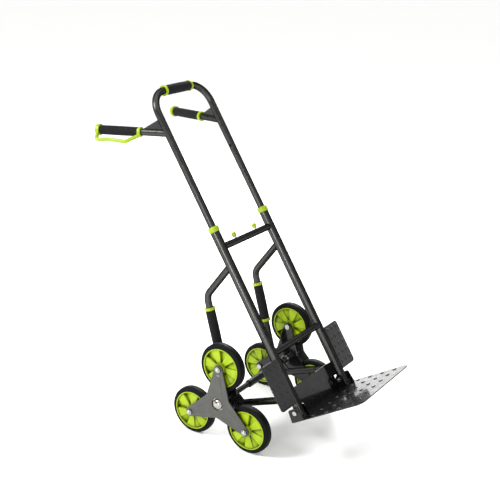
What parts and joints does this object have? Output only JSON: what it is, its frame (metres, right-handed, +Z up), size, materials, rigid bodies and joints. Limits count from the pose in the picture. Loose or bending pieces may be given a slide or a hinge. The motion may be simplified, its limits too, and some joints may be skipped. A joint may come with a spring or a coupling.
{
  "type": "stair-climbing hand truck",
  "caption": "Telescoping hand truck with a folding toe plate, rear grips, a hand guard and a three-wheel stair-climbing star on each side.",
  "frame": {"origin": "on the floor under the middle of the bounding box, with the truck leaned back on its four lower wheels", "axes": "+X forward, the way the toe plate points; +Y to the truck's left; +Z up. The rails lean back 33.7 degrees from +Z towards -X"},
  "size_m": [0.951, 0.4644, 1.0355],
  "materials": {
    "tube_paint": "semi-gloss anthracite metallic paint on steel tube",
    "black_paint": "satin black paint on pressed steel",
    "grey_paint": "satin grey paint on pressed steel",
    "black_plastic": "matte black plastic",
    "lime_plastic": "semi-gloss lime plastic",
    "rim_plastic": "semi-gloss lime plastic",
    "foam": "matte black foam rubber, faintly ribbed",
    "tyre_rubber": "matte black rubber",
    "zinc": "zinc-plated steel",
    "chrome": "polished chrome"
  },
  "bodies": {
    "frame": {"left_rail": "tube_paint", "right_rail": "tube_paint", "lock_bar": "tube_paint", "lock_guides": "black_plastic", "lock_springs": "zinc", "lower_crossbar": "tube_paint", "cross_panel": "black_paint", "rail_feet": "black_plastic", "rail_collars": "lime_plastic", "side_plates": "black_paint", "left_leg": "tube_paint", "right_leg": "tube_paint", "leg_foams": "foam", "leg_rings": "lime_plastic", "axle": "tube_paint", "axle_sleeve": "black_plastic", "axle_brackets": "tube_paint", "axle_spacers": "zinc", "axle_caps": "chrome", "pivot_bolts": "zinc", "pivot_spacers": "black_plastic"},
    "handle": {"handle_tube": "tube_paint", "guide_bushes": "black_plastic", "top_grip": "foam", "top_grip_rings": "lime_plastic", "gussets": "tube_paint", "left_grip_tube": "tube_paint", "right_grip_tube": "tube_paint", "left_grip": "foam", "right_grip": "foam", "left_grip_collar": "lime_plastic", "left_grip_cap": "lime_plastic", "right_hand_guard": "lime_plastic"},
    "toe_plate": {"toe_plate": "black_paint"},
    "left_lock": {"left_lock_pin": "zinc", "left_lock_knob": "lime_plastic"},
    "right_lock": {"right_lock_pin": "zinc", "right_lock_knob": "lime_plastic"},
    "left_star": {"left_star_plate_inner": "black_paint", "left_star_plate_outer": "grey_paint", "left_star_hub": "zinc", "left_wheel_spacers": "zinc", "left_wheel_bolts": "zinc"},
    "left_top_wheel": {"left_top_tyre": "tyre_rubber", "left_top_rim": "rim_plastic"},
    "left_rear_wheel": {"left_rear_tyre": "tyre_rubber", "left_rear_rim": "rim_plastic"},
    "left_front_wheel": {"left_front_tyre": "tyre_rubber", "left_front_rim": "rim_plastic"},
    "right_star": {"right_star_plate_inner": "black_paint", "right_star_plate_outer": "grey_paint", "right_star_hub": "zinc", "right_wheel_spacers": "zinc", "right_wheel_bolts": "zinc"},
    "right_top_wheel": {"right_top_tyre": "tyre_rubber", "right_top_rim": "rim_plastic"},
    "right_rear_wheel": {"right_rear_tyre": "tyre_rubber", "right_rear_rim": "rim_plastic"},
    "right_front_wheel": {"right_front_tyre": "tyre_rubber", "right_front_rim": "rim_plastic"}
  },
  "joints": [
    {"name": "handle_slide", "type": "slide", "parent": "frame", "child": "handle", "axis": [-0.5548, 0, 0.832], "range_m": [-0.284, 0]},
    {"name": "toe_plate_fold", "type": "hinge", "parent": "frame", "child": "toe_plate", "pos_m": [0.26266, 0, 0.15656], "axis": [0, -1, 0], "range_deg": [0, 90]},
    {"name": "left_lock_pull", "type": "slide", "parent": "frame", "child": "left_lock", "axis": [0, -1, 0], "range_m": [-0.0055, 0.004], "stiffness_N_per_m": 300, "deforming": ["lock_springs"]},
    {"name": "right_lock_pull", "type": "slide", "parent": "frame", "child": "right_lock", "axis": [0, 1, 0], "range_m": [-0.0055, 0.004], "stiffness_N_per_m": 300, "deforming": ["lock_springs"]},
    {"name": "left_star_spin", "type": "hinge", "parent": "frame", "child": "left_star", "pos_m": [0.02798, 0.195, 0.13383], "axis": [0, 1, 0], "continuous": true},
    {"name": "left_top_wheel_spin", "type": "hinge", "parent": "left_star", "child": "left_top_wheel", "pos_m": [0.02798, 0.1975, 0.25149], "axis": [0, 1, 0], "continuous": true},
    {"name": "left_rear_wheel_spin", "type": "hinge", "parent": "left_star", "child": "left_rear_wheel", "pos_m": [-0.07391, 0.1975, 0.075], "axis": [0, 1, 0], "continuous": true},
    {"name": "left_front_wheel_spin", "type": "hinge", "parent": "left_star", "child": "left_front_wheel", "pos_m": [0.12988, 0.1975, 0.075], "axis": [0, 1, 0], "continuous": true},
    {"name": "right_star_spin", "type": "hinge", "parent": "frame", "child": "right_star", "pos_m": [0.02798, -0.195, 0.13383], "axis": [0, 1, 0], "continuous": true},
    {"name": "right_top_wheel_spin", "type": "hinge", "parent": "right_star", "child": "right_top_wheel", "pos_m": [0.02798, -0.1975, 0.25149], "axis": [0, 1, 0], "continuous": true},
    {"name": "right_rear_wheel_spin", "type": "hinge", "parent": "right_star", "child": "right_rear_wheel", "pos_m": [-0.07391, -0.1975, 0.075], "axis": [0, 1, 0], "continuous": true},
    {"name": "right_front_wheel_spin", "type": "hinge", "parent": "right_star", "child": "right_front_wheel", "pos_m": [0.12988, -0.1975, 0.075], "axis": [0, 1, 0], "continuous": true}
  ]
}
